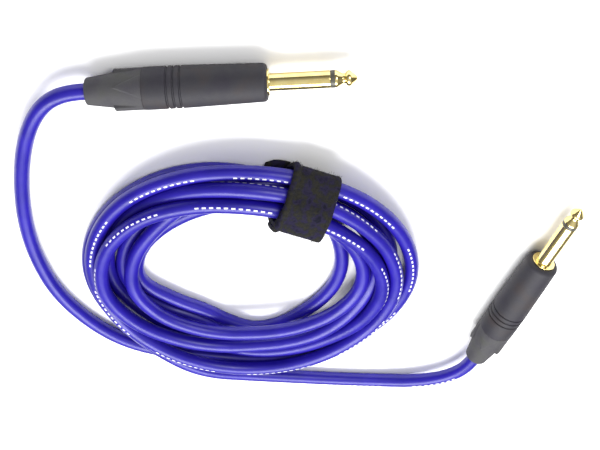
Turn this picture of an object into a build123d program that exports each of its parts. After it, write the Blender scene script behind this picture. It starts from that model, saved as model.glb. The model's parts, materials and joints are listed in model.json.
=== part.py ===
"""Instrument cable: a coiled 6 mm lead, tied with a strap, with a 6.35 mm jack plug on each end.

The frame: +Z up, the lead lies on z = 0, and the origin is the middle of the two plugs' box, on
that surface. All sizes are in millimetres. A plug is built in its own frame, with its axis on X,
the boot's rear end at x = 0 and the tip pointing along +X, and is then laid in its place.
"""

from build123d import *
from math import cos, pi, radians, sin, tan
import os

# The cable
CABLE_R = 3.0
SHIELD_R = 1.9
CORE_R = 1.5
CONDUCTOR_R = 0.5

# Stations along a plug, from the boot's rear end
BOOT_LENGTH = 20.5
HOUSING_END = 64.5
FLANGE_END = 65.1
SLEEVE_END = 86.6
RING_END = 88.2
PLUG_LENGTH = 96.0

# Radii of a plug
HOUSING_R = 7.65
HOUSING_FRONT_R = 6.85
HOUSING_BORE_R = 5.6
THREAD_R = 6.0
THREAD_PLAY = 0.08
FINGER_R = 3.175
RING_R = 3.14
FLANGE_R = 4.8
SHANK_R = 4.0
ROD_R = 1.25
ROD_COVER_R = 2.0
BOOT_END_R = 4.9
BOOT_STEP_R = 6.2
BOOT_FRONT_R = 7.3
WING_R = 7.5
BOOT_BORE_R = 3.5

# The housing's three ring grooves
GROOVE_STARTS = (28.9, 31.3, 33.7)

# The boot's thread: it backs out by this much, and it moves one pitch a turn
THREAD_PITCH = 1.0
THREAD_TURNS = 3
THREAD_LENGTH = 8.0
JACKET_END = 34.0
CHUCK_PLAY = 0.05

# Where each plug lies: the boot's rear end, the way its tip points, and its roll about its axis
AXIS_HEIGHT = HOUSING_R
PLUGS = {
    "a": {"exit": (-93.3, 69.8), "heading": 3.7, "roll": -45.0},
    "b": {"exit": (60.4, -79.2), "heading": 70.9, "roll": -31.0},
}

# The free cord: the points of its two tails after the straight start, up to the coil
STRAIGHT_START = 5.5
TAIL_A = [
    (-105.8, 67, 8), (-111.4, 61.8, 8.2), (-116.6, 52.5, 7.8), (-121.3, 38.5, 6.6), (-125.2, 20, 4.6),
    (-127.3, -1, 3.3), (-126, -21.5, 3), (-120.8, -42, 3), (-110.5, -59.5, 3), (-98, -72.5, 3),
    (-83, -80.5, 3), (-66, -84, 3),
]
TAIL_B = [
    (53.5, -92, 7.0), (45, -98, 5.8), (33, -101.6, 4.4), (17, -102.4, 3.3), (-3, -101.6, 3),
    (-23, -98.6, 3), (-41, -93, 3), (-58, -84.5, 3),
]
ARC_SHARE = 0.45

# The coil: seven loose turns about COIL_CENTRE. Each row is one turn, from the bottom of the plan
# round through the right, the top and the left, one value every 45 degrees.
COIL_CENTRE = (-38.0, -33.0)
COIL_STEP = 45.0
TURN_RADII = [
    [54.5, 58, 67, 67, 66, 68.5, 63, 53],
    [54, 55, 60.5, 59, 60.5, 61.5, 58, 46],
    [48, 47, 54, 52, 55.5, 63, 63, 47.5],
    [37.5, 40.5, 50, 56, 54, 54, 54, 34],
    [38, 42, 57, 63.5, 60, 50, 48, 34],
    [26.5, 31, 46.5, 49, 50, 48.5, 48, 28],
    [33, 30, 36, 46.5, 62, 67.5, 65.5, 54],
]
TURN_HEIGHTS = [
    [3, 3, 4, 9, 12, 10, 8, 12],
    [9, 9, 9, 13, 16, 8, 3, 3],
    [3, 6, 9, 14, 18, 15, 13, 10],
    [9, 9, 4, 5, 7, 4, 3, 3],
    [3, 3, 3, 3, 9, 9, 9, 9],
    [9, 8, 4, 4, 3, 3, 3, 3],
    [3, 3, 3, 3, 3, 3, 3, 8],
]

# The strap round the coil
STRAP_ANGLE = 67.5
STRAP_WIDTH = 19.0
STRAP_THICK = 1.6
STRAP_INSIDE = (23.0, 22.0)
STRAP_CENTRE_R = 58.5


def turned(profile):
    """A solid turned about the X axis from the corners (x, radius) of its half section."""
    with BuildPart() as part:
        with BuildSketch(Plane.XY):
            with BuildLine():
                Polyline(*profile, close=True)
            make_face()
        revolve(axis=Axis.X)
    return part.part


def tube(start, end, outside, inside=0.0):
    """A plain tube, or a rod, along X."""
    return turned([(start, inside), (end, inside), (end, outside), (start, outside)])


def housing():
    """The tapered barrel: three ring grooves near its rear, a rounded nose, and a stepped bore."""
    rim = 1.6
    groove_depth = 0.45
    nose = [
        (HOUSING_END - rim + rim * sin(radians(a)), HOUSING_FRONT_R - rim + rim * cos(radians(a)))
        for a in range(0, 91, 15)
    ]
    grooves = []
    for start in GROOVE_STARTS:
        grooves += [(start, 7.58), (start + 0.2, 7.58 - groove_depth)]
        grooves += [(start + 0.6, 7.58 - groove_depth), (start + 0.8, 7.57)]
    outside = [(BOOT_LENGTH, 7.45), (21.0, 7.6), (23.5, HOUSING_R)] + grooves + nose
    inside = [
        (HOUSING_END, FLANGE_R), (HOUSING_END - 0.3, FLANGE_R), (HOUSING_END - 0.3, SHANK_R),
        (61.5, SHANK_R), (61.5, HOUSING_BORE_R), (29.5, HOUSING_BORE_R),
        (29.5, THREAD_R + THREAD_PLAY), (BOOT_LENGTH, THREAD_R + THREAD_PLAY),
    ]
    return turned(outside + inside)


def sleeve_contact():
    """The plug's finger with its round flange, and the shank that is pressed into the housing."""
    seat = HOUSING_END - 0.3
    return turned([
        (60.0, ROD_COVER_R), (SLEEVE_END, ROD_COVER_R), (SLEEVE_END, FINGER_R),
        (FLANGE_END, FINGER_R), (FLANGE_END, FLANGE_R - 0.3), (FLANGE_END - 0.3, FLANGE_R),
        (seat, FLANGE_R), (seat, SHANK_R), (60.0, SHANK_R),
    ])


def tip_contact():
    """The tip with its neck and ball, and the rod that carries it through the sleeve."""
    end = PLUG_LENGTH
    ball_at, ball_r = end - 2.9, 2.85
    ball = [
        (ball_at + 1.3 * sin(radians(a)), ball_r - 1.3 + 1.3 * cos(radians(a)))
        for a in range(-50, 51, 10)
    ]
    return turned([
        (56.2, 0), (end, 0), (end, 0.55), (end - 0.35, 0.95)] + ball[::-1] + [
        (end - 4.4, 1.85), (end - 5.1, 1.85), (end - 6.9, 3.0), (end - 7.2, 3.1),
        (RING_END, RING_R), (RING_END, ROD_R), (56.8, ROD_R), (56.8, ROD_COVER_R),
        (56.2, ROD_COVER_R),
    ])


def lug(start, thick, hole, rim, tongue_end, tongue_at, width):
    """A solder lug: a ring on the rod or the shank, with a tongue that runs to the rear."""
    ring = tube(start, start + thick, rim, hole)
    length = start + thick - tongue_end
    tongue = Box(length, width, 0.5, align=(Align.MIN, Align.CENTER, Align.CENTER))
    eye = Cylinder(0.7, 2).moved(Location((2.2, 0, 0)))
    tongue = (tongue - eye).moved(Location((tongue_end, 0, tongue_at)))
    return ring + tongue


def chuck():
    """The collet that grips the cable: a slotted sleeve with a cone at its rear."""
    outside = [(13.0, 4.0), (16.0, 4.9), (31.0, 4.9), (32.0, 4.5)]
    inside = [(32.0, CABLE_R + CHUCK_PLAY), (13.0, CABLE_R + CHUCK_PLAY)]
    body = turned(outside + inside)
    slot = Box(11.0, 12.0, 0.9, align=(Align.MIN, Align.CENTER, Align.CENTER))
    for turn in (0, 90):
        body -= slot.rotate(Axis.X, turn).moved(Location((12.5, 0, 0)))
    return body


def thread_insert():
    """The hard nut inside the boot: its front end carries the thread, here a plain cylinder."""
    bore = 5.0
    return turned([
        (12.0, 4.15), (16.0, bore), (BOOT_LENGTH + THREAD_LENGTH, bore),
        (BOOT_LENGTH + THREAD_LENGTH, THREAD_R - 0.3), (BOOT_LENGTH + THREAD_LENGTH - 0.4, THREAD_R),
        (BOOT_LENGTH, THREAD_R), (BOOT_LENGTH, 5.6), (12.0, 5.6),
    ])


def boot():
    """The soft boot: a rounded cone with two wings and a raised wedge on each side between them."""
    body = turned([
        (0, 4.15), (0, 4.4), (0.6, BOOT_END_R), (9.3, BOOT_STEP_R), (BOOT_LENGTH, BOOT_FRONT_R),
        (BOOT_LENGTH, 5.6), (12.0, 5.6), (12.0, 4.15), (10.8, BOOT_BORE_R), (1.2, BOOT_BORE_R),
    ])
    shell = tube(10.2, BOOT_LENGTH, WING_R, 5.9) - body
    wing = Box(12, 20, 6.4, align=(Align.MIN, Align.CENTER, Align.CENTER)).moved(Location((10, 0, 0)))
    wings = shell & wing
    raised = turned([
        (10.5, 6.0), (BOOT_LENGTH, 7.0), (BOOT_LENGTH, BOOT_FRONT_R + 0.15), (10.5, BOOT_STEP_R + 0.5),
    ])
    with BuildPart() as wedge:
        with BuildSketch(Plane.XY):
            with BuildLine():
                Polyline((10.6, 0), (BOOT_LENGTH, -4.2), (BOOT_LENGTH, 4.2), close=True)
            make_face()
        extrude(amount=10, both=True)
    return body + wings + ((raised & wedge.part) - body)


def wire(points, radius, bend):
    """A round wire along a bent path."""
    with BuildPart() as part:
        with BuildLine() as path:
            FilletPolyline(*points, radius=bend)
        with BuildSketch(Plane(path.line @ 0, z_dir=path.line % 0)):
            Circle(radius)
        sweep()
    return part.part


def plug_pieces():
    """Every piece of one plug, by the name of its node, in the plug's own frame."""
    return {
        "housing": housing(),
        "sleeve_contact": sleeve_contact(),
        "tip_contact": tip_contact(),
        "tip_insulator": tube(SLEEVE_END, RING_END, RING_R, ROD_R),
        "rod_insulator": tube(59.4, SLEEVE_END, ROD_COVER_R, ROD_R),
        "rear_insulator": tube(57.4, 59.4, 3.4, ROD_R),
        "tip_lug": lug(56.8, 0.6, ROD_R, 2.6, 47.0, 2.3, 2.4),
        "ground_lug": lug(59.4, 0.6, ROD_COVER_R, SHANK_R, 42.0, -3.75, 2.4),
        "liner": tube(36.0, 56.0, 5.5, 4.95),
        "chuck": chuck(),
        "thread_insert": thread_insert(),
        "boot": boot(),
        "jacket_end": tube(0, JACKET_END, CABLE_R, SHIELD_R),
        "shield_end": tube(0, JACKET_END, SHIELD_R, CORE_R),
        "shield_pigtail": wire(
            [(JACKET_END, 0, -2.1), (37.5, 0, -2.4), (40.5, 0, -3.0), (46.5, 0, -3.05)], 0.45, 3.0),
        "core_insulation": tube(0, 42.0, CORE_R, CONDUCTOR_R),
        "conductor": wire([(0, 0, 0), (43.0, 0, 0), (46.5, 0, 1.5), (50.5, 0, 1.55)], CONDUCTOR_R, 2.0),
    }


def plug_place(spot):
    """The place of a plug that lies on the surface, turned to its heading and rolled."""
    x, y = spot["exit"]
    return Location((x, y, AXIS_HEIGHT), (0, 0, spot["heading"])) * Location((0, 0, 0), (spot["roll"], 0, 0))


def cord_start(spot):
    """The boot's rear end, and the end of the cord's straight start."""
    x, y = spot["exit"]
    heading = radians(spot["heading"])
    out = (x - STRAIGHT_START * cos(heading), y - STRAIGHT_START * sin(heading), AXIS_HEIGHT)
    return [(x, y, AXIS_HEIGHT), out]


def arc_radii(points):
    """The arc at each corner of a route: as large as the two runs beside it allow."""
    corners = [Vector(*p) for p in points]
    radii = []
    for before, here, after in zip(corners, corners[1:], corners[2:]):
        shorter = min((here - before).length, (after - here).length)
        turn = radians((here - before).get_angle(after - here))
        radii.append(ARC_SHARE * shorter / tan(turn / 2))
    return radii


def cord_tube(name, points):
    """The cord along a route of straight runs and tangent arcs."""
    radii = arc_radii(points)
    print(name, "arc radii", [round(r, 1) for r in radii])
    with BuildPart() as part:
        with BuildLine() as path:
            FilletPolyline(*points, radius=radii)
        with BuildSketch(Plane(path.line @ 0, z_dir=path.line % 0)):
            Circle(CABLE_R)
        sweep()
    length = sum(edge.length for edge in path.line.edges())
    print(name, "length", round(length, 1), "volume over section x length",
          round(part.part.volume / (pi * CABLE_R**2 * length), 4))
    return part.part


def on_plan(angle, radius):
    """A point of the plan, from its angle and distance about the coil's centre."""
    a = radians(angle)
    return (COIL_CENTRE[0] + radius * cos(a), COIL_CENTRE[1] + radius * sin(a))


def outline(pick, margin):
    """A closed outline of the coil: the farthest or the nearest turn at each station."""
    points = []
    for i in range(len(TURN_RADII[0])):
        radius = pick(row[i] for row in TURN_RADII)
        points.append(on_plan(-90 + COIL_STEP * i, radius + margin))
    return points


def coil_ring(height):
    """A ring as high as given, between the coil's outer and inner outlines."""
    with BuildPart() as ring:
        with BuildSketch():
            with BuildLine():
                Spline(*outline(max, CABLE_R), periodic=True)
            make_face()
            with BuildLine():
                Spline(*outline(min, -CABLE_R), periodic=True)
            make_face(mode=Mode.SUBTRACT)
        extrude(amount=height)
    return ring.part


def strap_place():
    """The middle of the strap, with X outward from the coil's centre and Y along the cord."""
    x, y = on_plan(STRAP_ANGLE, STRAP_CENTRE_R)
    return Location((x, y, STRAP_THICK + STRAP_INSIDE[1] / 2), (0, 0, STRAP_ANGLE))


def bundle(grow, width, round_by):
    """A bar along the cord at the strap, with the section of the tied turns grown by a margin."""
    with BuildPart() as bar:
        with BuildSketch(Plane.XZ.offset(-width / 2)):
            RectangleRounded(STRAP_INSIDE[0] + 2 * grow, STRAP_INSIDE[1] + 2 * grow, round_by + grow)
        extrude(amount=width)
    return bar.part.moved(strap_place())


def coil_and_strap():
    """The coil's outer shape, low where it fans out and high at the strap, and the strap's band."""
    low, high = 12.0, STRAP_THICK + STRAP_INSIDE[1]
    sector = Box(60, 62, 60).moved(strap_place())
    raised = coil_ring(high) & sector
    ring = coil_ring(low) + raised
    around = Box(60, STRAP_WIDTH + 0.6, 80).moved(strap_place())
    strap = bundle(STRAP_THICK, STRAP_WIDTH, 7.0) - bundle(0, STRAP_WIDTH + 2, 7.0)
    coil = (ring - around) + bundle(0, STRAP_WIDTH + 2, 7.0)
    return coil, strap


os.makedirs("parts", exist_ok=True)

nodes = {}
for side, spot in PLUGS.items():
    for name, piece in plug_pieces().items():
        nodes[f"{name}_{side}"] = piece.moved(plug_place(spot))
nodes["cord_coil"], nodes["strap"] = coil_and_strap()
nodes["cord_tail_a"] = cord_tube("tail a", cord_start(PLUGS["a"]) + TAIL_A) - nodes["cord_coil"]
nodes["cord_tail_b"] = cord_tube("tail b", cord_start(PLUGS["b"]) + TAIL_B) - nodes["cord_coil"]

for name, solid in nodes.items():
    export_step(solid, f"parts/{name}.step")
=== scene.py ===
"""The looks of the instrument cable: its cord, plugs, boots and strap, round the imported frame.

Lengths are in millimetres, as in the part's source, and become metres through MM.
"""

import json
import math

import bmesh
import bpy
import numpy as np
from mathutils import Matrix, Vector

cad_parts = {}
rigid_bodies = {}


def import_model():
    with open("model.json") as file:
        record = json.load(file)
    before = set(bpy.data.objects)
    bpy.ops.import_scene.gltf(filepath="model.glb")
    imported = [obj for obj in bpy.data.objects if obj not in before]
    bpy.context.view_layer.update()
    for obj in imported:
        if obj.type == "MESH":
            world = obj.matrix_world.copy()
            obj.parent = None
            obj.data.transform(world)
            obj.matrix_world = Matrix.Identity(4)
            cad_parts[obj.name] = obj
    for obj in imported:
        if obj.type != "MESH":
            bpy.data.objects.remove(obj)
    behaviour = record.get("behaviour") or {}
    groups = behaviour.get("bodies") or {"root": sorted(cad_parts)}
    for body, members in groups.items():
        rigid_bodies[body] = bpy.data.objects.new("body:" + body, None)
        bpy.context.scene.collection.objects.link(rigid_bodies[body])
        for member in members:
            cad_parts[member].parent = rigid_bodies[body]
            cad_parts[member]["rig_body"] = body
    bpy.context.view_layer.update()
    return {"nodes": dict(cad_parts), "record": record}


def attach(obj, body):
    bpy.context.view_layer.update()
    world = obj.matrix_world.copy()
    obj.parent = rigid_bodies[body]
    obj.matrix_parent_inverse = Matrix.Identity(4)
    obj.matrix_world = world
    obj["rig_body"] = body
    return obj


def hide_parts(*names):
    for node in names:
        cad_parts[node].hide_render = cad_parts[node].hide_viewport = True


MM = 0.001

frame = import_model()

# ---------------------------------------------------------------- the driving sizes and places

CABLE_R = 3.0
STRAIGHT_START = 5.5
FINGER_MIDDLE = 76.65

TAIL_A = [
    (-105.8, 67, 8), (-111.4, 61.8, 8.2), (-116.6, 52.5, 7.8), (-121.3, 38.5, 6.6), (-125.2, 20, 4.6),
    (-127.3, -1, 3.3), (-126, -21.5, 3), (-120.8, -42, 3), (-110.5, -59.5, 3), (-98, -72.5, 3),
    (-83, -80.5, 3), (-62, -85.5, 3),
]
TAIL_B = [
    (53.5, -92, 7.0), (45, -98, 5.8), (33, -101.6, 4.4), (17, -102.4, 3.3), (-3, -101.6, 3),
    (-23, -98.6, 3),
]

# The coil: seven loose turns about COIL_CENTRE. Each row is one turn, from the bottom of the plan
# round through the right, the top and the left, one value every 45 degrees.
COIL_CENTRE = (-38.0, -33.0)
COIL_STEP = 45.0
TURN_RADII = [
    [54.5, 58, 67, 67, 66, 68.5, 63, 53],
    [54, 55, 60.5, 59, 60.5, 61.5, 58, 46],
    [48, 47, 54, 52, 55.5, 63, 63, 47.5],
    [37.5, 40.5, 50, 56, 54, 54, 54, 34],
    [38, 42, 57, 63.5, 60, 50, 48, 34],
    [26.5, 31, 46.5, 49, 50, 48.5, 48, 28],
    [33, 30, 36, 46.5, 62, 67.5, 65.5, 54],
]
TURN_HEIGHTS = [
    [3, 3, 4, 9, 12, 10, 8, 12],
    [9, 9, 9, 13, 16, 8, 3, 3],
    [3, 6, 9, 14, 18, 15, 13, 10],
    [9, 9, 4, 5, 7, 4, 3, 3],
    [3, 3, 3, 3, 9, 9, 9, 9],
    [9, 8, 4, 4, 3, 3, 3, 3],
    [3, 3, 3, 3, 3, 3, 3, 8],
]
LAST_RADIUS = 61.5
# Where the cord cuts straight across between two stations: the turn, the station and the radius.
STRAIGHT_ACROSS = {(5, 6): 34.0}
# Settling: the share of an overlap that a round undoes, how far the turns sink in it, and how much
# of their drift on the plan they keep. The last rounds only push.
PUSH, SINK, HOLD = 1.2, 0.03, 0.99
LAST_PUSH = 2.0

# The strap: where it is on the coil, the space inside its band, and the strip that it is cut from
STRAP_ANGLE = 67.5
STRAP_WIDTH = 19.0
STRAP_THICK = 1.6
STRAP_CENTRE_R = 58.5
STRAP_HALF_INSIDE = 8.5
STRAP_OVERLAP = 20.0
STRAP_PLAY = 0.15
STRAP_LOOSE = 0.9
# Where the strip starts on the band's line, and how far from the coil's centre its tongue lies
STRAP_START = -34.0
TONGUE_R = 61.5
# How the turns are gathered to the strap: how far along the cord that reaches, how much more room
# they have where it ends, how far past the strap's middle theirs lies, and the radius inside which
# none is gathered
TIE_REACH = 34.0
TIE_SPREAD = 26.0
TIE_OUT_BY = 1.0
TIE_INNER = 30.0

# The plugs, in their own frame: X along the axis, from the boot's rear end
ROLLS = {"a": -45.0, "b": -31.0}
BOOT_LENGTH = 20.5
HOUSING_END = 64.5
FLANGE_END = 65.1
SLEEVE_END = 86.6
RING_END = 88.2
PLUG_LENGTH = 96.0
GROOVE_STARTS = (28.9, 31.3, 33.7)
WING_R = 7.5
THREAD_R = 6.0
THREAD_PITCH = 1.0

# How far the print is turned from the top of the cord, in degrees, at even steps along the cord
PRINT_TURNS = [150, 120, 15, 0, 10, 25, 140, 120, 10, 60, 150, 180, 180, 180, 180, 180, 170, 140, 50, 0]
# The printed dashes: their pitch and length, and how many of each group are shown
DASH_FIRST = 14.0
DASH_PITCH = 2.7
DASH_LENGTH = 1.5
DASH_GROUP = 16
DASH_SHOWN = 11

# ---------------------------------------------------------------- camera, floor and lights


def make_camera():
    """The photograph's angle: 45 degrees down, from the side that the strap is on, and upside down."""
    data = bpy.data.cameras.new("camera")
    data.lens = 70.0
    data.sensor_width = 36.0
    camera = bpy.data.objects.new("camera", data)
    bpy.context.scene.collection.objects.link(camera)
    down = math.radians(45.0)
    distance = 471.0 * MM
    target = Vector((-17.6, -4.65, 0)) * MM
    back = Vector((0, math.cos(down), math.sin(down)))
    up = Vector((0, math.sin(down), -math.cos(down)))
    turn = Matrix((Vector((1, 0, 0)), up, back)).transposed().to_4x4()
    camera.matrix_world = Matrix.Translation(target + back * distance) @ turn
    bpy.context.scene.camera = camera


def make_floor():
    """A plain, matt white floor."""
    mesh = bpy.data.meshes.new("floor")
    half = 6.0
    mesh.from_pydata(
        [(-half, -half, 0), (half, -half, 0), (half, half, 0), (-half, half, 0)], [], [(0, 1, 2, 3)])
    floor = bpy.data.objects.new("floor", mesh)
    bpy.context.scene.collection.objects.link(floor)
    material = bpy.data.materials.new("floor_pale")
    material.use_nodes = True
    shader = material.node_tree.nodes["Principled BSDF"]
    shader.inputs["Base Color"].default_value = (0.96, 0.96, 0.96, 1)
    shader.inputs["Roughness"].default_value = 0.95
    floor.data.materials.append(material)


def area_light(name, place, target, size, power):
    """A soft box that faces a point."""
    data = bpy.data.lights.new(name, "AREA")
    data.shape = "RECTANGLE"
    data.size, data.size_y = size
    data.energy = power
    light = bpy.data.objects.new(name, data)
    light.location = place
    light.rotation_mode = "QUATERNION"
    light.rotation_quaternion = (Vector(target) - Vector(place)).to_track_quat("-Z", "Y")
    bpy.context.scene.collection.objects.link(light)


def make_lights():
    """A pale studio: a broad box overhead, a smaller one behind the camera, and a dimmer room."""
    area_light("overhead", (-0.1, -0.45, 0.85), (0, 0, 0), (1.0, 0.45), 18.5)
    area_light("front", (0.45, 0.75, 0.75), (0, 0, 0), (0.45, 0.45), 6.5)
    world = bpy.data.worlds.new("studio")
    world.use_nodes = True
    tree = world.node_tree
    way = tree.nodes.new("ShaderNodeTexCoord")
    parts = tree.nodes.new("ShaderNodeSeparateXYZ")
    tree.links.new(way.outputs["Generated"], parts.inputs["Vector"])
    room = link_ramp(tree, parts.outputs["Z"], [
        (0.0, (0.14, 0.14, 0.14)), (0.45, (0.32, 0.32, 0.33)), (0.8, (0.75, 0.75, 0.76)),
        (1.0, (1, 1, 1))])
    tree.links.new(room, tree.nodes["Background"].inputs["Color"])
    tree.nodes["Background"].inputs["Strength"].default_value = 0.9
    bpy.context.scene.world = world
    bpy.context.scene.view_settings.view_transform = "Standard"


# ---------------------------------------------------------------- the cord's route


def plug_frame(side):
    """A plug's own frame from its mount: X along its axis, from the boot's rear end to the tip."""
    mount = next(m for m in frame["record"]["mounts"] if m["name"] == f"plug_{side}")
    along = Vector(mount["axis"]).normalized()
    rear = Vector(mount["pos_m"]) - along * FINGER_MIDDLE * MM
    across = Vector((0, 0, 1)).cross(along)
    return rear, along, across


def straight_start(side):
    """The boot's rear end, and the end of the cord's straight start."""
    rear, along, _ = plug_frame(side)
    return [tuple(rear / MM), tuple((rear / MM) - along * STRAIGHT_START)]


def half_way(values, i):
    """A smooth value between two neighbours of a list."""
    before, here = values[max(i - 1, 0)], values[i]
    after, beyond = values[i + 1], values[min(i + 2, len(values) - 1)]
    return (9 * here + 9 * after - before - beyond) / 16


def coil_points():
    """The coil's control points, sixteen a turn. The spline cuts inside them, so they stand out."""
    radii = [r for row in TURN_RADII for r in row] + [LAST_RADIUS]
    heights = [h for row in TURN_HEIGHTS for h in row] + [CABLE_R]
    stand_out = 1 / (0.75 + 0.25 * math.cos(math.radians(COIL_STEP / 2)))
    points = []
    for i in range(2 * len(radii) - 1):
        whole, half = divmod(i, 2)
        radius = half_way(radii, whole) if half else radii[whole]
        if half:
            radius = STRAIGHT_ACROSS.get(divmod(whole, 8), radius)
        height = half_way(heights, whole) if half else heights[whole]
        angle = math.radians(-90 + COIL_STEP * i / 2)
        points.append((
            COIL_CENTRE[0] + stand_out * radius * math.cos(angle),
            COIL_CENTRE[1] + stand_out * radius * math.sin(angle),
            max(CABLE_R, height),
        ))
    return points


def spline_weights(count, steps):
    """The matrix that turns control points into samples along the cord's quadratic spline."""
    rows = []
    for i in range(1, count - 1):
        for k in range(steps):
            t = (k + 0.5) / steps
            row = np.zeros(count)
            row[i - 1] += 0.5 * (1 - t) ** 2
            row[i] += 0.5 + t * (1 - t)
            row[i + 1] += 0.5 * t ** 2
            rows.append(row)
    return np.array(rows)


def strap_nearness(points):
    """How near each point is to the strap, from 0 to 1, and its direction from the coil's centre."""
    out = points[:, :2] - np.array(COIL_CENTRE)
    distance = np.sqrt((out ** 2).sum(1))
    middle = math.radians(STRAP_ANGLE)
    turned_by = np.arctan2(out[:, 1], out[:, 0]) - middle
    along = np.abs(STRAP_CENTRE_R * turned_by)
    near = (1 - (along / TIE_REACH) ** 2).clip(0, 1)
    near[distance < TIE_INNER] = 0
    return near, out / distance[:, None], distance


def tie(moved, free):
    """Gathers the turns into the strap's band and lifts them by its thickness."""
    near, away, distance = strap_nearness(moved)
    middle = STRAP_CENTRE_R + TIE_OUT_BY
    slack = STRAP_HALF_INSIDE + TIE_SPREAD * (1 - near)
    wanted = distance.clip(middle - slack, middle + slack)
    change = (away * (wanted - distance)[:, None])[free]
    moved[free, :2] += np.where(near[free, None] > 0, change, 0)
    return CABLE_R + (STRAP_THICK + STRAP_PLAY) * near


def settle(points, first, last):
    """Pushes the coil's turns apart until they all but touch, and lets them rest on each other."""
    rounds, last_rounds, refresh = 420, 160, 10
    # Samples a span, the fewest samples between two that are compared, and how far past touching
    # pairs are looked for
    steps, apart, reach = 8, 50, 4.0
    gap = 2 * CABLE_R
    start = np.array(points, float)
    moved = start.copy()
    weights = spline_weights(len(points), steps)
    share = (weights / weights.sum(0).clip(1e-9)).T
    free = slice(first, last)
    for turn in range(rounds):
        samples = weights @ moved
        if turn % refresh == 0:
            delta = samples[:, None, :] - samples[None, :, :]
            close = (delta ** 2).sum(2) < (gap + reach) ** 2
            one, other = np.nonzero(np.triu(close, apart))
        delta = samples[one] - samples[other]
        distance = np.sqrt((delta ** 2).sum(1)) + 1e-6
        push = delta * ((gap - distance).clip(0) / 2 / distance)[:, None]
        shift = np.zeros_like(samples)
        np.add.at(shift, one, push)
        np.add.at(shift, other, -push)
        if turn < rounds - last_rounds:
            moved[free] += (share @ shift)[free] * PUSH
            moved[free, 2] -= SINK
            offset = moved - start
            offset[1:-1] = 0.5 * offset[1:-1] + 0.25 * (offset[:-2] + offset[2:])
            offset[:, :2] *= HOLD
            moved[free] = (start + offset)[free]
        else:
            moved[free] += (share @ shift)[free] * LAST_PUSH
        floor = tie(moved, free)
        moved[:, 2] = np.maximum(moved[:, 2], CABLE_R)
        moved[free, 2] = np.maximum(moved[free, 2], floor[free])
    return moved


def cord_route():
    """Every control point of the cord, from the boot of plug A to the boot of plug B."""
    head = straight_start("a") + TAIL_A
    coil = coil_points()
    tail = TAIL_B[::-1] + straight_start("b")[::-1]
    points = head + coil + tail
    return settle(points, len(head) - 2, len(head) + len(coil) + 1)


def make_cord(route):
    """The cord, one smooth curve along its route."""
    curve = bpy.data.curves.new("cord", "CURVE")
    curve.dimensions = "3D"
    curve.resolution_u = 12
    curve.bevel_depth = CABLE_R * MM
    curve.bevel_resolution = 8
    curve.use_fill_caps = True
    spline = curve.splines.new("NURBS")
    spline.points.add(len(route) - 1)
    for point, place in zip(spline.points, route):
        point.co = (*(Vector(place) * MM), 1)
    spline.order_u = 3
    spline.use_endpoint_u = True
    cord = bpy.data.objects.new("cord", curve)
    bpy.context.scene.collection.objects.link(cord)
    return cord


# ---------------------------------------------------------------- materials


def link_noise(tree, scale, detail, stretch=None):
    """A noise over the piece's own coordinates, in metres."""
    where = tree.nodes.new("ShaderNodeTexCoord")
    noise = tree.nodes.new("ShaderNodeTexNoise")
    noise.inputs["Scale"].default_value = scale
    noise.inputs["Detail"].default_value = detail
    if stretch:
        mapping = tree.nodes.new("ShaderNodeMapping")
        mapping.inputs["Scale"].default_value = stretch
        tree.links.new(where.outputs["UV"], mapping.inputs["Vector"])
        tree.links.new(mapping.outputs["Vector"], noise.inputs["Vector"])
    else:
        tree.links.new(where.outputs["Object"], noise.inputs["Vector"])
    return noise.outputs["Fac"]


def link_ramp(tree, factor, stops):
    """A colour for each level of a factor."""
    ramp = tree.nodes.new("ShaderNodeValToRGB")
    elements = ramp.color_ramp.elements
    while len(elements) < len(stops):
        elements.new(0.5)
    for element, (place, colour) in zip(elements, stops):
        element.position = place
        element.color = (*colour, 1)
    tree.links.new(factor, ramp.inputs["Fac"])
    return ramp.outputs["Color"]


def link_range(tree, factor, low, high):
    """A factor moved to another range."""
    span = tree.nodes.new("ShaderNodeMapRange")
    span.inputs["From Min"].default_value = 0.3
    span.inputs["From Max"].default_value = 0.7
    span.inputs["To Min"].default_value = low
    span.inputs["To Max"].default_value = high
    tree.links.new(factor, span.inputs["Value"])
    return span.outputs["Result"]


def link_relief(tree, factor, strength, depth):
    """A fine relief on the surface, depth in millimetres."""
    bump = tree.nodes.new("ShaderNodeBump")
    bump.inputs["Strength"].default_value = strength
    bump.inputs["Distance"].default_value = depth * MM
    tree.links.new(factor, bump.inputs["Height"])
    return bump.outputs["Normal"]


def finish(name, stops, gloss, patch, grain, relief, stretch=None, **sockets):
    """A material: mottled colour, uneven gloss and a fine relief. Patch and grain are per metre."""
    material = bpy.data.materials.new(name)
    material.use_nodes = True
    tree = material.node_tree
    shader = tree.nodes["Principled BSDF"]
    for socket, value in sockets.items():
        shader.inputs[socket.replace("_", " ")].default_value = value
    broad = link_noise(tree, patch, 3.0)
    fine = link_noise(tree, grain, 4.0, stretch)
    tree.links.new(link_ramp(tree, broad, stops), shader.inputs["Base Color"])
    tree.links.new(link_range(tree, fine, *gloss), shader.inputs["Roughness"])
    tree.links.new(link_relief(tree, fine, *relief), shader.inputs["Normal"])
    return material


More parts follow.
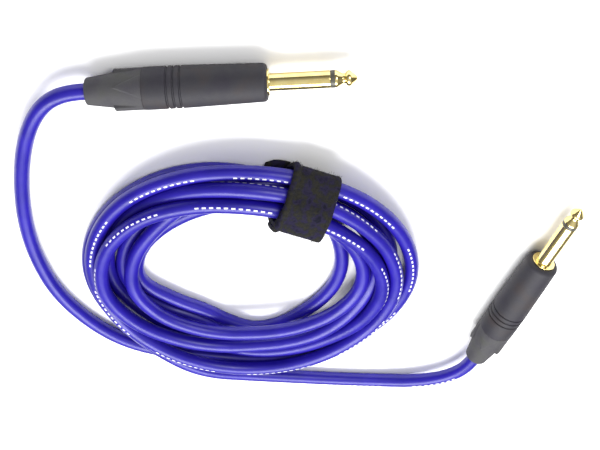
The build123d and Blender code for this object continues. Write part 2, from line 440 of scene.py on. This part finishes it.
def make_finishes():
    """Every material of the lead."""
    return {
        "jacket": finish(
            "jacket_blue", [(0.35, (0.009, 0.004, 0.23)), (0.65, (0.015, 0.007, 0.28))],
            (0.32, 0.40), 90.0, 500.0, (0.05, 0.008), Specular_IOR_Level=0.38),
        "housing": finish(
            "housing_black",
            [(0.3, (0.019, 0.017, 0.026)), (0.5, (0.024, 0.023, 0.029)), (0.7, (0.030, 0.024, 0.026))],
            (0.60, 0.72), 110.0, 3500.0, (0.3, 0.02), Specular_IOR_Level=0.35),
        "boot": finish(
            "boot_rubber",
            [(0.3, (0.040, 0.038, 0.047)), (0.55, (0.052, 0.051, 0.055)), (0.75, (0.050, 0.051, 0.047))],
            (0.68, 0.82), 140.0, 2600.0, (0.4, 0.04), Specular_IOR_Level=0.35),
        "gold": finish(
            "gold_plate", [(0.3, (0.76, 0.60, 0.23)), (0.7, (0.86, 0.72, 0.34))],
            (0.08, 0.17), 220.0, 260.0, (0.12, 0.02), stretch=(1, 0, 0), Metallic=1.0),
        "ring": finish(
            "ring_plastic", [(0.3, (0.045, 0.043, 0.03)), (0.7, (0.07, 0.066, 0.045))],
            (0.35, 0.5), 300.0, 3000.0, (0.3, 0.02)),
        "strap": finish(
            "strap_weave",
            [(0.30, (0.006, 0.006, 0.014)), (0.42, (0.016, 0.013, 0.034)), (0.52, (0.014, 0.014, 0.016)),
             (0.62, (0.019, 0.018, 0.013)), (0.75, (0.010, 0.009, 0.012))],
            (0.85, 1.0), 330.0, 1300.0, (1.0, 0.45), Specular_IOR_Level=0.15),
        "print": finish(
            "print_ink", [(0.3, (0.55, 0.55, 0.66)), (0.7, (0.80, 0.80, 0.86))],
            (0.4, 0.55), 500.0, 3000.0, (0.2, 0.01)),
        "insert": finish(
            "insert_grey", [(0.3, (0.05, 0.05, 0.055)), (0.7, (0.08, 0.08, 0.085))],
            (0.35, 0.5), 200.0, 3000.0, (0.3, 0.03)),
        "chuck": finish(
            "chuck_nylon", [(0.3, (0.10, 0.10, 0.11)), (0.7, (0.15, 0.15, 0.16))],
            (0.4, 0.55), 200.0, 3000.0, (0.3, 0.03)),
        "tinned": finish(
            "tinned_metal", [(0.3, (0.55, 0.55, 0.54)), (0.7, (0.72, 0.72, 0.70))],
            (0.25, 0.42), 250.0, 2200.0, (0.4, 0.03), Metallic=1.0),
        "copper": finish(
            "copper_strand", [(0.3, (0.62, 0.26, 0.13)), (0.7, (0.80, 0.40, 0.22))],
            (0.22, 0.40), 400.0, 3500.0, (0.8, 0.08), Metallic=1.0),
        "milky": finish(
            "milky_plastic", [(0.3, (0.62, 0.61, 0.56)), (0.7, (0.72, 0.71, 0.67))],
            (0.35, 0.5), 200.0, 2500.0, (0.2, 0.02)),
    }


CAD_FINISHES = {
    "tip_lug": "tinned", "ground_lug": "tinned", "rod_insulator": "milky", "rear_insulator": "milky",
    "liner": "milky", "chuck": "chuck", "jacket_end": "jacket", "shield_end": "copper",
    "shield_pigtail": "copper", "core_insulation": "milky", "conductor": "copper",
}


def dress_cad_nodes(finishes):
    """Gives the pieces inside the plugs, which stay as the CAD made them, their materials."""
    for node, piece in frame["nodes"].items():
        name = CAD_FINISHES.get(node.rsplit("_", 1)[0])
        if name:
            for slot in piece.material_slots:
                slot.material = finishes[name]


# ---------------------------------------------------------------- meshes


def solid(name, points, faces, material, sharp=40.0, closed=True):
    """A smooth-shaded mesh that keeps its edges sharp above an angle. Its points are in metres."""
    mesh = bpy.data.meshes.new(name)
    mesh.from_pydata([tuple(p) for p in points], [], faces)
    if closed:
        form = bmesh.new()
        form.from_mesh(mesh)
        bmesh.ops.remove_doubles(form, verts=form.verts, dist=1e-7)
        bmesh.ops.recalc_face_normals(form, faces=form.faces)
        form.to_mesh(mesh)
        form.free()
    mesh.polygons.foreach_set("use_smooth", [True] * len(mesh.polygons))
    mesh.set_sharp_from_angle(angle=math.radians(sharp))
    mesh.materials.append(material)
    piece = bpy.data.objects.new(name, mesh)
    bpy.context.scene.collection.objects.link(piece)
    return piece


def grid_faces(rows, columns, round_rows=False, round_columns=False):
    """The four-sided faces between the points of a grid."""
    faces = []
    for i in range(rows if round_rows else rows - 1):
        for j in range(columns if round_columns else columns - 1):
            below, right = (i + 1) % rows, (j + 1) % columns
            faces.append((
                i * columns + j, i * columns + right, below * columns + right, below * columns + j))
    return faces


def rounded(corners, rim, steps=4):
    """A closed section with every corner eased by a rim, or by less on a short side."""
    section = []
    for i, corner in enumerate(corners):
        here = Vector(corner)
        before, after = Vector(corners[i - 1]), Vector(corners[(i + 1) % len(corners)])
        if here.y == 0:
            section.append(tuple(here))
            continue
        back, on = before - here, after - here
        start = here + back.normalized() * min(rim, 0.45 * back.length)
        end = here + on.normalized() * min(rim, 0.45 * on.length)
        for k in range(steps + 1):
            t = k / steps
            section.append(tuple(start * (1 - t) ** 2 + here * 2 * t * (1 - t) + end * t ** 2))
    return section


def plug_matrix(side):
    """From a plug's own frame, in millimetres, to the lead's, in metres."""
    rear, along, across = plug_frame(side)
    roll = math.radians(ROLLS[side])
    up = along.cross(across)
    local_y = across * math.cos(roll) + up * math.sin(roll)
    local_z = up * math.cos(roll) - across * math.sin(roll)
    turn = Matrix((along, local_y, local_z)).transposed().to_4x4()
    return Matrix.Translation(rear) @ turn @ Matrix.Scale(MM, 4)


def lathe(name, section, side, material, segments=128, skin=None):
    """A closed section turned about a plug's axis. A skin moves each point in or out."""
    place = plug_matrix(side)
    points = []
    for i in range(segments):
        angle = 2 * math.pi * i / segments
        for x, r in section:
            radius = skin(x, r, angle) if skin else r
            points.append(place @ Vector((x, radius * math.cos(angle), radius * math.sin(angle))))
    piece = solid(name, points, grid_faces(segments, len(section), True, True), material)
    mark_lengths(piece, place.inverted())
    return piece


def mark_lengths(piece, back):
    """A UV layer whose U is the distance along the plug's axis, for turning marks."""
    mesh = piece.data
    layer = mesh.uv_layers.new(name="along")
    for loop in mesh.loops:
        along = (back @ mesh.vertices[loop.vertex_index].co).x
        layer.data[loop.index].uv = (along * 0.1, 0.5)


# ---------------------------------------------------------------- the plugs


def housing_section():
    """The barrel with its three grooves, its rounded nose and its stepped bore."""
    barrel_r, groove_r, nose_r, nose_centre = 7.6, 7.13, 1.6, 5.25
    grooves = []
    for start in GROOVE_STARTS:
        grooves += [(start, barrel_r), (start + 0.25, groove_r), (start + 0.6, groove_r),
                    (start + 0.85, barrel_r)]
    nose = [
        (HOUSING_END - nose_r + nose_r * math.sin(math.radians(a)),
         nose_centre + nose_r * math.cos(math.radians(a)))
        for a in range(0, 91, 10)
    ]
    inside = [
        (HOUSING_END, 4.8), (HOUSING_END - 0.3, 4.8), (HOUSING_END - 0.3, 4.0), (61.5, 4.0),
        (61.5, 5.6), (29.5, 5.6), (29.5, 6.08), (BOOT_LENGTH, 6.08),
    ]
    rear = [(BOOT_LENGTH, 7.45), (21.0, barrel_r), (23.5, 7.65)]
    return rounded(rear + grooves + nose + inside, 0.15)


def sleeve_section():
    """The finger and its flange."""
    seat = HOUSING_END - 0.3
    return rounded([
        (60.0, 2.0), (SLEEVE_END, 2.0), (SLEEVE_END, 3.175), (FLANGE_END, 3.175), (FLANGE_END, 4.8),
        (seat, 4.8), (seat, 4.0), (60.0, 4.0),
    ], 0.18)


def tip_section():
    """The tip: a cone from the ring to the neck, the ball, and the blunt end, on its rod."""
    end = PLUG_LENGTH
    ball_r, ball_x, ball_out = 1.3, end - 2.9, 1.55
    ball = [
        (ball_x + ball_r * math.sin(math.radians(a)), ball_out + ball_r * math.cos(math.radians(a)))
        for a in range(50, -51, -5)
    ]
    return rounded([(56.2, 0), (end, 0), (end, 0.6), (end - 0.35, 0.95)] + ball + [
        (end - 4.4, 1.85), (end - 5.1, 1.85), (end - 6.9, 3.0), (end - 7.2, 3.1), (RING_END, 3.14),
        (RING_END, 1.25), (56.8, 1.25), (56.8, 2.0), (56.2, 2.0),
    ], 0.12)


def ease(value, low, high):
    """From 0 to 1 as a value goes from low to high, softly."""
    t = min(max((value - low) / (high - low), 0.0), 1.0)
    return t * t * (3 - 2 * t)


def boot_skin(x, r, angle):
    """The boot's outside: its cone, out to the two wings and the two raised wedges."""
    bored = r < 5.65 and x > 8 or r < 4.2
    if bored:
        return r
    wedge_start, wedge_half, wedge_height = 10.4, 4.2, 0.42
    across = abs(WING_R * math.sin(angle))
    wing = ease(x, 10.0, 10.5) * (1 - ease(across, 2.95, 3.45))
    over = abs(WING_R * math.cos(angle))
    half = wedge_half * (x - wedge_start) / (BOOT_LENGTH - wedge_start)
    wedge = (1 - ease(over, half - 0.2, half + 0.25)) * ease(x, wedge_start, 11.2)
    wedge_r = min(r + wedge_height, 7.45)
    return max(r + wing * (WING_R - r), r + wedge * (wedge_r - r))


def boot_section():
    """The boot: a long cone outside, finely divided for its wings, and a stepped bore."""
    outside = [(0, 4.15), (0, 4.4), (0.22, 4.7), (0.6, 4.9)]
    stations = np.arange(1.0, BOOT_LENGTH, 0.2)
    radii = np.interp(stations, [0.6, 9.3, BOOT_LENGTH], [4.9, 6.2, 7.3])
    outside += list(zip(stations.tolist(), radii.tolist()))
    inside = [
        (BOOT_LENGTH, 7.2), (BOOT_LENGTH, 5.7), (BOOT_LENGTH, 5.6), (12.0, 5.6), (12.0, 4.15),
        (10.8, 3.5), (1.2, 3.5),
    ]
    return outside + inside


def thread_skin(x, r, angle):
    """A right-hand thread cut into the insert's front end."""
    depth = 0.4
    if x < BOOT_LENGTH + depth or r < THREAD_R - depth:
        return r
    turn = (x / THREAD_PITCH - angle / (2 * math.pi)) % 1
    return r - depth * (1 - abs(2 * turn - 1))


def thread_section():
    """The nut inside the boot, finely divided along its thread."""
    length = 8.0
    end = BOOT_LENGTH + length
    rows = [(x, THREAD_R) for x in np.arange(BOOT_LENGTH, end - 0.3, THREAD_PITCH / 8).tolist()]
    return [(12.0, 4.15), (12.0, 5.6), (BOOT_LENGTH, 5.6)] + rows + [(end, 5.6), (end, 5.0), (16.0, 5.0)]


def make_plug(side, finishes):
    """A plug's visible pieces, each in place of its CAD node."""
    parts = [
        ("housing", housing_section(), "housing", "housing_plastic", 128, None),
        ("sleeve_contact", sleeve_section(), "gold", "gold_contact", 128, None),
        ("tip_contact", tip_section(), "gold", "gold_contact", 96, None),
        ("tip_insulator", rounded([(SLEEVE_END, 1.25), (RING_END, 1.25), (RING_END, 3.13),
                                   (SLEEVE_END, 3.13)], 0.1), "ring", "insulator_plastic", 96, None),
        ("thread_insert", thread_section(), "insert", "insert_plastic", 96, thread_skin),
        ("boot", boot_section(), "boot", "boot_rubber", 216, boot_skin),
    ]
    for stem, section, look, slot, segments, skin in parts:
        node = f"{stem}_{side}"
        piece = lathe(f"{stem}_look_{side}", section, side, finishes[look], segments, skin)
        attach(piece, frame["nodes"][node]["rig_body"])
        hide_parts(node)


# ---------------------------------------------------------------- the print on the cord


def centre_line(cord):
    """The cord's centreline as points in metres, read from its spline."""
    line = cord.data.copy()
    line.bevel_depth = 0
    carrier = bpy.data.objects.new("line", line)
    mesh = bpy.data.meshes.new_from_object(carrier)
    points = np.array([v.co[:] for v in mesh.vertices])
    bpy.data.objects.remove(carrier)
    return points


def along_line(points):
    """The distance of each point from the line's start, in metres."""
    steps = np.sqrt((np.diff(points, axis=0) ** 2).sum(1))
    return np.concatenate([[0], np.cumsum(steps)])


def make_print(cord, material):
    """A row of white dashes along the cord, which turns about it from one stretch to the next."""
    line = centre_line(cord)
    along = along_line(line)
    turns = np.array(PRINT_TURNS, float)
    points, faces = [], []
    for i in range(int((along[-1] / MM - 2 * DASH_FIRST) / DASH_PITCH)):
        if i % DASH_GROUP >= DASH_SHOWN:
            continue
        place = (DASH_FIRST + i * DASH_PITCH) * MM
        turn = np.interp(place / along[-1], np.linspace(0, 1, len(turns)), turns)
        base = len(points)
        points += dash_points(line, along, place, DASH_LENGTH * MM, math.radians(turn))
        faces += [tuple(base + k for k in face) for face in grid_faces(3, 4)]
    piece = solid("print_dashes", points, faces, material, closed=False)
    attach(piece, "lead")
    return piece


def dash_points(line, along, place, length, turn):
    """One dash: three rows across a little patch that lies on the cord."""
    radius, half_height = (CABLE_R + 0.04) * MM, 0.11
    points = []
    for where in (place, place + length / 2, place + length):
        centre = Vector([np.interp(where, along, line[:, k]) for k in range(3)])
        ahead = Vector([np.interp(where + 1 * MM, along, line[:, k]) for k in range(3)])
        forward = (ahead - centre).normalized()
        side = forward.cross(Vector((0, 0, 1))).normalized()
        top = side.cross(forward)
        for k in range(4):
            angle = turn + half_height * (2 * k / 3 - 1)
            points.append(centre + (top * math.cos(angle) + side * math.sin(angle)) * radius)
    return points


# ---------------------------------------------------------------- the strap


def strap_axes():
    """The strap's middle on the plan, and the way out from the coil's centre and along the cord."""
    angle = math.radians(STRAP_ANGLE)
    out = Vector((math.cos(angle), math.sin(angle), 0))
    along = Vector((-math.sin(angle), math.cos(angle), 0))
    return Vector((*COIL_CENTRE, 0)), out, along


def tied_turns(line):
    """Where the turns pass through the strap: distance from the coil's centre, and height."""
    centre, out, along = strap_axes()
    passing = []
    for point in line / MM:
        rel = Vector(point) - centre
        if abs(rel.dot(along)) < STRAP_WIDTH / 2 + 0.5 and rel.dot(out) > TIE_INNER:
            passing.append((rel.dot(out), point[2]))
    return np.array(passing)


def band_line(turns, out_by):
    """The closed line round the tied turns, evenly divided, from the floor under the bundle."""
    loosest_at, divisions = 130, 140
    corners = []
    for degrees in range(-90, 270, 3):
        way = np.array([math.cos(math.radians(degrees)), math.sin(math.radians(degrees))])
        farthest = turns[np.argmax(turns @ way)]
        loose = STRAP_LOOSE * max(0.0, math.cos(math.radians(degrees - loosest_at))) ** 3
        corners.append(farthest + way * (out_by + loose))
    corners.append(corners[0])
    corners = np.array(corners)
    run = along_line(corners)
    even = np.linspace(0, run[-1], divisions)
    return np.stack([np.interp(even, run, corners[:, k]) for k in (0, 1)], 1), run[-1]


def strap_station(loop, perimeter, s):
    """The point and the outward way of the band's line at a distance s along it."""
    even = np.linspace(0, perimeter, len(loop))

    def at(where):
        return np.array([np.interp(where % perimeter, even, loop[:, k]) for k in (0, 1)])

    forward = at(s + 0.6) - at(s - 0.6)
    forward /= np.linalg.norm(forward)
    return at(s), np.array([forward[1], -forward[0]])


def strap_profile(s, total):
    """The strip's cross-section: across its width and out of its face, with its sewn edge."""
    corner, corner_length, ripple_height, stitch, across = 2.2, 2.6, 0.12, 2.3, 24
    end = min(s, total - s)
    half = STRAP_WIDTH / 2 - corner * (1 - ease(end, 0, corner_length)) ** 2
    ripple = ripple_height * math.sin(2 * math.pi * s / stitch)
    face, back = [], []
    for k in range(across + 1):
        v = 2 * k / across - 1
        edge = 0.25 * abs(v) ** 6
        sewn = (0.65 + ripple) * ease(v, 0.72, 0.80) * (1 - ease(v, 0.95, 1.0))
        sewn -= 0.3 * ease(v, 0.60, 0.68) * (1 - ease(v, 0.70, 0.76))
        rim = 0.3 * ease(abs(v), 0.94, 1.0)
        face.append((v * half, STRAP_THICK / 2 + edge + sewn - rim))
        back.append((v * half, -STRAP_THICK / 2 + edge * 0.3 + rim))
    return face + back[::-1]


def make_strap(line, material):
    """The hook-and-loop strap: one strip round the tied turns, with its end lapped over itself."""
    centre, out, along = strap_axes()
    up = Vector((0, 0, 1))
    loop, perimeter = band_line(tied_turns(line), CABLE_R + STRAP_PLAY + STRAP_THICK / 2)
    total = perimeter + STRAP_OVERLAP
    rows = 200
    points = []
    for i in range(rows):
        s = total * i / (rows - 1)
        place, away = strap_station(loop, perimeter, s + STRAP_START)
        lifted = (STRAP_THICK + 0.1) * ease(s, perimeter - 5, perimeter)
        for v, w in strap_profile(s, total):
            r, z = place + away * (w + lifted)
            points.append((centre + out * r + up * max(z, 0.0) + along * v) * MM)
    columns = len(points) // rows
    faces = grid_faces(rows, columns, False, True)
    faces += [tuple(range(columns)), tuple(range((rows - 1) * columns, rows * columns))]
    piece = solid("strap_band", points, faces, material, sharp=60.0)
    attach(piece, "lead")
    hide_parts("strap")
    return piece, total


def make_fuzz(strap, material):
    """Short curled fibres that stand out of the strap's face."""
    chance, fibres = np.random.default_rng(11), 5200
    mesh = strap.data
    faces = [f for f in mesh.polygons if len(f.vertices) == 4]
    points, quads = [], []
    for _ in range(fibres):
        face = faces[chance.integers(len(faces))]
        if face.center.z < 1.0 * MM:
            continue
        way = Vector(chance.normal(size=3))
        lean = (face.normal + 0.9 * way.normalized()).normalized()
        width = face.normal.cross(way).normalized() * 0.05 * MM
        root = face.center + way * 0.12 * MM
        tall = (0.25 + 0.45 * chance.random()) * MM
        tip = root + lean * tall + way * 0.12 * MM
        base = len(points)
        middle = (root + tip) / 2 + face.normal * 0.1 * MM
        points += [root - width, root + width, middle - width, middle + width, tip - width / 2,
                   tip + width / 2]
        quads += [(base, base + 1, base + 3, base + 2), (base + 2, base + 3, base + 5, base + 4)]
    piece = solid("strap_fuzz", points, quads, material, closed=False)
    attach(piece, "lead")
    return piece


def make_tongue(material):
    """The strap's narrow tongue, which comes out flat on the floor from under the bundle."""
    centre, out, along = strap_axes()
    middle = centre + out * TONGUE_R + along * (STRAP_WIDTH / 2 + 2.0)
    onward = (along - out * 0.28).normalized()
    points = []
    rows, columns = 12, 20
    half_width, narrowing, length, tucked_in = 2.6, 0.55, 9.0, 3.0
    for i in range(rows):
        t = i / (rows - 1)
        half = half_width * (1 - narrowing * ease(t, 0.7, 1.0))
        for k in range(columns):
            a = 2 * math.pi * k / columns
            across, high = half * math.cos(a), 0.85 + 0.75 * math.sin(a)
            sag = 0.6 * math.sin(math.pi * t)
            points.append((middle + onward * (length * t - tucked_in) + out * (across + sag)
                           + Vector((0, 0, high))) * MM)
    faces = grid_faces(rows, columns, False, True)
    faces += [tuple(range(columns)), tuple(range((rows - 1) * columns, rows * columns))]
    piece = solid("strap_tongue", points, faces, material, sharp=60.0)
    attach(piece, "lead")
    return piece


# ---------------------------------------------------------------- making it all

make_camera()
make_floor()
make_lights()
finishes = make_finishes()

cord = make_cord(cord_route())
cord.data.materials.append(finishes["jacket"])
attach(cord, "lead")
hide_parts("cord_tail_a", "cord_coil", "cord_tail_b")

line = centre_line(cord)
dashes = make_print(cord, finishes["print"])
strap, strap_length = make_strap(line, finishes["strap"])
fuzz = make_fuzz(strap, finishes["strap"])
tongue = make_tongue(finishes["strap"])
for side in ("a", "b"):
    make_plug(side, finishes)
dress_cad_nodes(finishes)

print("cord", round(along_line(line)[-1] / MM, 1), "strap strip", round(strap_length, 1))
